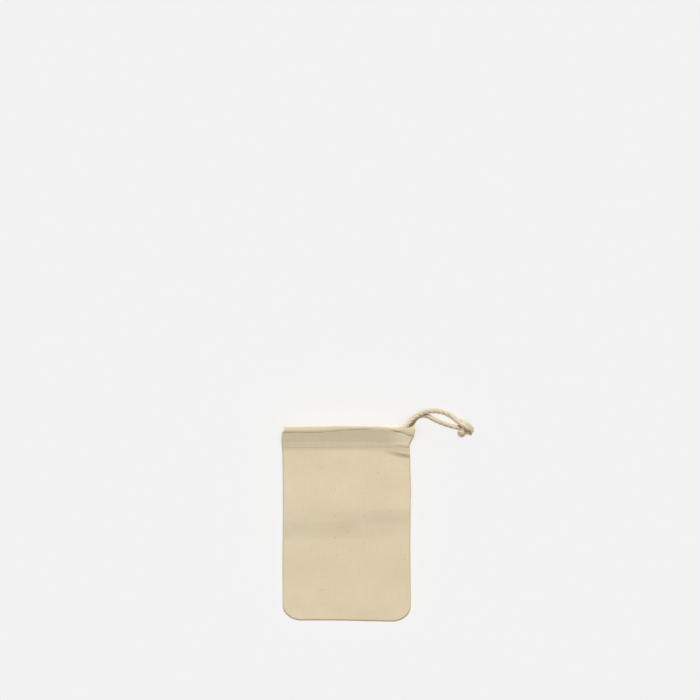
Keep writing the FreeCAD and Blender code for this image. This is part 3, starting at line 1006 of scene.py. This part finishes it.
def clothPiece(name, grid, rows, finish, facingUp):
    p = pouchSet
    count, across = grid.shape[:2]
    steps = np.linalg.norm(np.diff(grid[:, across // 2], axis=0), axis=1)
    down = np.concatenate([[0.0], np.cumsum(steps)])
    space = np.zeros((count, across, 3))
    space[:, :, 0] = grid[:, :, 0]
    space[:, :, 1] = down[:, None]
    faces = []
    used = set()
    for i in range(count - 1):
        kind, value = rows[i]
        inner = kind == "facing" or (kind == "arc" and value > p["innerFrom"])
        for j in range(across - 1):
            x = 0.5 * (grid[i, j, 0] + grid[i, j + 1, 0])
            if inner and (x < p["slitLeft"] or p["endCut"][0] < x < p["endCut"][1]):
                continue
            if kind == "facing" and x > p["slitRight"]:
                continue
            a = i * across + j
            face = (a, a + 1, a + across + 1, a + across)
            faces.append(face if facingUp else face[::-1])
            used.update(face)
    keep = sorted(used)
    number = {old: new for new, old in enumerate(keep)}
    verts = grid.reshape(-1, 3)[keep] * mm
    faces = [tuple(number[k] for k in face) for face in faces]
    obj = meshPiece(name, verts, faces, finish, space.reshape(-1, 3)[keep] * mm)
    gatherWithCord(obj)
    thick = obj.modifiers.new("cloth", "SOLIDIFY")
    thick.thickness = p["cloth"]
    thick.offset = -1.0
    soft = obj.modifiers.new("soft", "SUBSURF")
    soft.levels = 1
    soft.render_levels = 1
    return obj


def stitchLine(points, c, name, finish, normalUp=1.0):
    # one thread bead a stitch, its ends sinking into the cloth
    parts = []
    t = np.linspace(-1.0, 1.0, 9)
    for i, (centre, heading) in enumerate(points):
        rise = c["rise"] * (1.0 - t ** 2) - c["sink"] * t ** 4
        line = centre[None, :] + heading[None, :] * (t * c["length"] / 2.0)[:, None]
        line[:, 2] += rise * normalUp
        radii = c["radius"] * (1.0 - 0.35 * t ** 4)
        parts.append(tube(line * mm, radii * mm, 8, alongStart=i * 0.0131))
    return joinedPiece(name, parts, finish)


stitchSet = {
    "length": 2.15,
    "pitch": 2.6,
    "radius": 0.17,
    "rise": 0.08,
    "sink": 0.22,
    "hemInset": 2.4,
    "backInset": 4.8,
    "above": 0.10,
    "backZ": 0.33,
}


def makeHemStitches(finish):
    p = pouchSet
    c = stitchSet
    random.seed(11)
    front = []
    back = []
    step = 0.6
    x = p["left"] + c["hemInset"]
    while x < p["right"] - 2.0:
        y = p["stitchY"] + random.uniform(-0.07, 0.07) + 0.15 * math.sin(x / 19.0)
        slant = random.uniform(-0.05, 0.05)
        z0 = float(frontTop(np.array([x - step]), np.array([y]))[0])
        z1 = float(frontTop(np.array([x + step]), np.array([y]))[0])
        heading = np.array([1.0, slant, (z1 - z0) / (2.0 * step)])
        front.append((np.array([x, y, 0.5 * (z0 + z1) + c["above"]]), heading))
        if p["left"] + c["backInset"] < x < p["right"] - c["backInset"]:
            back.append((np.array([x, y, c["backZ"]]), np.array([1.0, -slant, 0.0])))
        x += c["pitch"]
    frontStitches = stitchLine(front, c, "frontHemStitches", finish)
    backStitches = stitchLine(back, c, "backHemStitches", finish, -1.0)
    return frontStitches, backStitches


allowanceSet = {
    "width": 5.0,
    "start": 0.7,
    "ragged": 0.18,
    "lowZ": 0.95,
    "fallPower": 2.5,
    "thick": 0.7 * mm,
    "stitchInset": 1.5,
    "stitchAbove": 0.42,
    "cornerGap": 1.5,
    "hemGap": 2.0,
    "seed": {"left": 3, "right": 5, "bottom": 7},
}


def seamPath(side):
    # the seam's line in plan, from end to end, with the way into the pouch
    p = pouchSet
    short = p["corner"] + allowanceSet["cornerGap"]
    if side == "bottom":
        x = np.linspace(p["left"] + short, p["right"] - short, 76)
        line = np.stack([x, np.full(len(x), p["bottom"])], axis=1)
        inward = np.tile((0.0, 1.0), (len(x), 1))
    else:
        y = np.linspace(p["bottom"] + short, p["stitchY"] - allowanceSet["hemGap"], 118)
        left, right = sideLines(y)
        x = left if side == "left" else right
        line = np.stack([x, y], axis=1)
        inward = np.tile((1.0 if side == "left" else -1.0, 0.0), (len(y), 1))
    return line, inward


def allowanceHeight(seam, u):
    # from the seam down to where the edges lie flat
    low = allowanceSet["lowZ"]
    return low + (seam - low) * (1.0 - u) ** allowanceSet["fallPower"]


def makeAllowance(side, finish):
    # both plies' raw edges, pressed together inside the seam
    c = allowanceSet
    line, inward = seamPath(side)
    across = np.linspace(c["start"], c["width"] + c["start"], 9)
    random.seed(c["seed"][side])
    grid = []
    for i in range(len(line)):
        ragged = random.uniform(-c["ragged"], c["ragged"])
        seam = float(seamHeight(np.array([line[i, 1]]))[0])
        row = []
        for d in across:
            u = (d - c["start"]) / c["width"]
            reach = d + ragged * u ** 6
            z = allowanceHeight(seam, u) + 0.12 * math.sin(i * 0.35) * u
            row.append((line[i, 0] + inward[i, 0] * reach, line[i, 1] + inward[i, 1] * reach, z))
        grid.append(row)
    grid = np.array(grid)
    count, width = grid.shape[:2]
    faces = []
    for i in range(count - 1):
        for j in range(width - 1):
            a = i * width + j
            faces.append((a, a + 1, a + width + 1, a + width))
    points = grid.reshape(-1, 3) * mm
    obj = meshPiece(side + "SeamAllowance", points, faces, finish, points)
    gatherWithCord(obj)
    thick = obj.modifiers.new("plies", "SOLIDIFY")
    thick.thickness = c["thick"]
    thick.offset = 0.0
    return obj


def makeSeamStitches(side, finish):
    c = allowanceSet
    line, inward = seamPath(side)
    inset = c["stitchInset"]
    path = np.zeros((len(line), 3))
    path[:, :2] = line + inward * inset
    u = (inset - c["start"]) / c["width"]
    path[:, 2] = allowanceHeight(seamHeight(line[:, 1]), u) + c["stitchAbove"]
    spaced = evenly(path, stitchSet["pitch"])[0]
    heading = np.gradient(spaced, axis=0)
    heading /= np.linalg.norm(heading, axis=1)[:, None]
    points = [(spaced[i], heading[i]) for i in range(1, len(spaced) - 1)]
    return stitchLine(points, stitchSet, side + "SeamStitches", finish)


tuftSet = {
    "centre": (89.1, 71.0, 3.2),
    "from": (89.3, 73.2, 3.7),
    "radius": 3.2,
    "fibres": 260,
    "thickness": 0.16,
    "spread": 1.55,  # how far the fibres fan back past the ball's widest place
    "turn": 2.399963,  # the golden angle, so that they spread evenly
    "stemRadius": 0.9,
    "floorZ": 0.2,
    "coreRadius": 1.35,
    "coreSwell": 0.75 * 0.9,
}


def makeTuft(finish):
    # the cut end, opened out into a soft ball of fibres
    c = tuftSet
    random.seed(29)
    start = np.array(c["from"])
    centre = np.array(c["centre"])
    heading = (centre - start) / np.linalg.norm(centre - start)
    sideA = np.array([-heading[1], heading[0], 0.0])
    sideA /= np.linalg.norm(sideA)
    sideB = np.cross(heading, sideA)
    parts = []
    for i in range(c["fibres"]):
        lift = 1.0 - c["spread"] * (i + 0.5) / c["fibres"]
        flat = math.sqrt(max(0.0, 1.0 - lift * lift))
        angle = i * c["turn"]
        aside = sideA * math.cos(angle) + sideB * math.sin(angle)
        out = heading * lift + aside * flat
        tip = centre + out * c["radius"] * random.uniform(0.86, 1.10)
        tip[2] = max(tip[2], c["floorZ"])
        root = start + aside * c["stemRadius"] * flat
        mid = 0.45 * root + 0.55 * tip + (out - heading * 0.3) * 0.55
        mid[2] = max(mid[2], 0.25)
        t = np.linspace(0.0, 1.0, 8)[:, None]
        line = (1.0 - t) ** 2 * root + 2.0 * t * (1.0 - t) * mid + t ** 2 * tip
        line[:, 2] = np.maximum(line[:, 2], 0.12)
        radii = c["thickness"] * (1.25 - 0.7 * t[:, 0]) * random.uniform(0.8, 1.25)
        parts.append(tube(line * mm, radii * mm, 5, alongStart=i * 0.0071))
    # a packed core behind the fibres
    coreLine = np.array([start + (centre - start) * t for t in np.linspace(0.0, 1.25, 12)])
    t = np.linspace(0.0, 1.0, 12)
    coreRadii = c["coreRadius"] + c["coreSwell"] * np.sin(np.clip(t * 1.15, 0.0, 1.0) * math.pi)
    coreRadii = coreRadii * (1.0 - 0.75 * smooth((t - 0.72) / 0.28))
    parts.append(tube(coreLine * mm, coreRadii * mm, 18, squashZ=0.95))
    return joinedPiece("frayedEnd", parts, finish)


fuzzSet = {
    "seed": 17,
    "perMm": 5.0,
    "standOff": 1.55 * mm,
    "shortest": 0.5,
    "longest": 1.3,
    "thickness": 0.028 * mm,
    "floorZ": 0.05 * mm,
}


def makeFuzz(name, lines, finish, c):
    # stray fibres that stand off the cord
    random.seed(c["seed"])
    parts = []
    for line in lines:
        spaced, along = evenly(line, cordSet["step"])
        ahead, sideA, sideB = carriedFrames(spaced)
        count = int(along[-1] / mm * c["perMm"])
        for i in range(count):
            k = random.randrange(1, len(spaced) - 1)
            angle = random.uniform(0.0, 2.0 * math.pi)
            out = sideA[k] * math.cos(angle) + sideB[k] * math.sin(angle)
            base = spaced[k] + out * c["standOff"]
            lean = ahead[k] * random.uniform(-1.0, 1.0)
            length = random.uniform(c["shortest"], c["longest"]) * mm
            t = np.linspace(0.0, 1.0, 4)[:, None]
            fibre = base + lean * length * t + out * length * 0.45 * np.sin(t * 2.2)
            fibre[:, 2] = np.maximum(fibre[:, 2], c["floorZ"])
            parts.append(tube(fibre, np.full(4, c["thickness"]), 3, alongStart=i * 0.003))
    return joinedPiece(name, parts, finish)


# camera and cords come first
makeCamera(cameraSet)
cordYarn = makeYarn("cottonCord", cordLook)
upperLine = nurbsLine(upperTailRoute)
lowerLine = nurbsLine(lowerTailRoute)
hemLine = nurbsLine(hemRoute)

upperParts, upperPath = ropeParts(upperLine, cordSet, 0.4)
upperTail = joinedPiece("upperTail", upperParts, cordYarn)
lowerParts, lowerPath = ropeParts(lowerLine, cordSet, 1.9)
lowerTail = joinedPiece("lowerTail", lowerParts, cordYarn)
hemParts = ropeParts(hemLine, cordSet, 0.4, pressed=cordSet["hemPressed"])[0]
hemCord = joinedPiece("hemCord", hemParts, cordYarn)

knotParts = []
for index, route in enumerate(knotRoutes.values()):
    line = nurbsLine(route)
    knotParts.extend(ropeParts(line, cordSet, 0.8 * index, taper=cordSet["knotTaper"])[0])
knot = joinedPiece("knot", knotParts, cordYarn)
# the frayed end gets the lighter cotton, painted light that lifts its shade
frayedEnd = makeTuft(makeYarn("looseCottonPaintedLight", tuftPaintedLightLook))
tailFuzz = makeFuzz("tailFuzz", [upperLine, lowerLine], cordYarn, fuzzSet)

for piece in (upperTail, lowerTail, hemCord, knot, frayedEnd, tailFuzz):
    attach(piece, "drawcord")
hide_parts("drawcord_upper_tail")
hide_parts("drawcord_lower_tail")
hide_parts("drawcord_front_run", "drawcord_back_run", "drawcord_turn")
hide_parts("drawcord_knot", "drawcord_tucked_end")
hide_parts("drawcord_frayed_end")


def lengthOf(line):
    return float(np.linalg.norm(np.diff(line, axis=0), axis=1).sum())


print("cords laid: upper", round(lengthOf(upperPath), 4), "lower", round(lengthOf(lowerPath), 4))

muslin = makeMuslin(clothLook)
sewingThreadPaintedLight = makeYarn("sewingThreadPaintedLight", threadPaintedLightLook)

frontGrid, frontRows = layFront()
frontCloth = clothPiece("frontCloth", frontGrid, frontRows, muslin, True)
backGrid, backRows = layBack()
backCloth = clothPiece("backCloth", backGrid, backRows, muslin, False)
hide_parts("front_panel", "front_tunnel_facing")
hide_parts("back_panel", "back_tunnel_facing")
print("cloth laid:", len(frontCloth.data.vertices), "and", len(backCloth.data.vertices), "points")

frontStitches, backStitches = makeHemStitches(sewingThreadPaintedLight)
for piece, node in ((frontStitches, "front_hem_stitches"), (backStitches, "back_hem_stitches")):
    gatherWithCord(piece)
    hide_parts(node)
for side in ("left", "right", "bottom"):
    allowance = makeAllowance(side, muslin)
    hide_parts(side + "_seam_allowance")
    seamRow = makeSeamStitches(side, sewingThreadPaintedLight)
    gatherWithCord(seamRow)
    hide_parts(side + "_seam_stitches")
print("seams sewn")

lightSet = {
    "sky": 0.30,
    "key": 3.43,
    "keyElevation": 41.0,
    "keyAngle": 34.0,
    "cordFill": 0.75,  # from the near side, so the cord's shaded side stays open
    "cordFillElevation": 48.0,
    "floorFill": 1.45,  # lights the floor evenly
    "floorLight": 0.61,  # and this part leaves a soft shadow beside the pouch
    "floorAngle": 60.0,
}


def makeSun(name, energy, angle, tilt=0.0):
    lamp = bpy.data.lights.new(name, "SUN")
    lamp.energy = energy
    lamp.angle = math.radians(angle)
    obj = bpy.data.objects.new(name, lamp)
    obj.rotation_euler = (math.radians(tilt), 0.0, 0.0)
    bpy.context.scene.collection.objects.link(obj)
    return obj


def makeLights(c):
    world = bpy.data.worlds.new("studio")
    world.use_nodes = True
    background = world.node_tree.nodes["Background"]
    background.inputs["Color"].default_value = (1.0, 1.0, 1.0, 1.0)
    background.inputs["Strength"].default_value = c["sky"]
    bpy.context.scene.world = world
    # the key comes from straight beyond the mouth
    key = makeSun("key", c["key"], c["keyAngle"], c["keyElevation"] - 90.0)
    fill = makeSun("cordFill", c["cordFill"], c["keyAngle"], 90.0 - c["cordFillElevation"])
    floorFill = makeSun("floorFill", c["floorFill"], c["floorAngle"])
    floorFill.data.use_shadow = False
    floorLight = makeSun("floorLight", c["floorLight"], c["floorAngle"])
    return key, fill, [floorFill, floorLight]


floorSet = {
    "half": 6.0,
    "tone": 0.56,
    "glow": 0.353,  # the floor is partly self-lit, as a lit backdrop is
}


def makeFloor(c):
    half = c["half"]
    verts = [(-half, -half, 0.0), (half, -half, 0.0), (half, half, 0.0), (-half, half, 0.0)]
    floor = meshPiece("floor", verts, [(0, 1, 2, 3)], makePaleFloor(c))
    floor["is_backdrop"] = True
    return floor


floor = makeFloor(floorSet)
keyLight, cordFill, floorLights = makeLights(lightSet)
litPieces = bpy.data.collections.new("litPieces")
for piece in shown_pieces():
    litPieces.objects.link(piece)
litFloor = bpy.data.collections.new("litFloor")
litFloor.objects.link(floor)
keyLight.light_linking.receiver_collection = litPieces
litCord = bpy.data.collections.new("litCord")
for piece in (upperTail, lowerTail, knot, frayedEnd, tailFuzz):
    litCord.objects.link(piece)
cordFill.light_linking.receiver_collection = litCord
for lamp in floorLights:
    lamp.light_linking.receiver_collection = litFloor
bpy.context.scene.view_settings.view_transform = "Standard"
print("lights set")
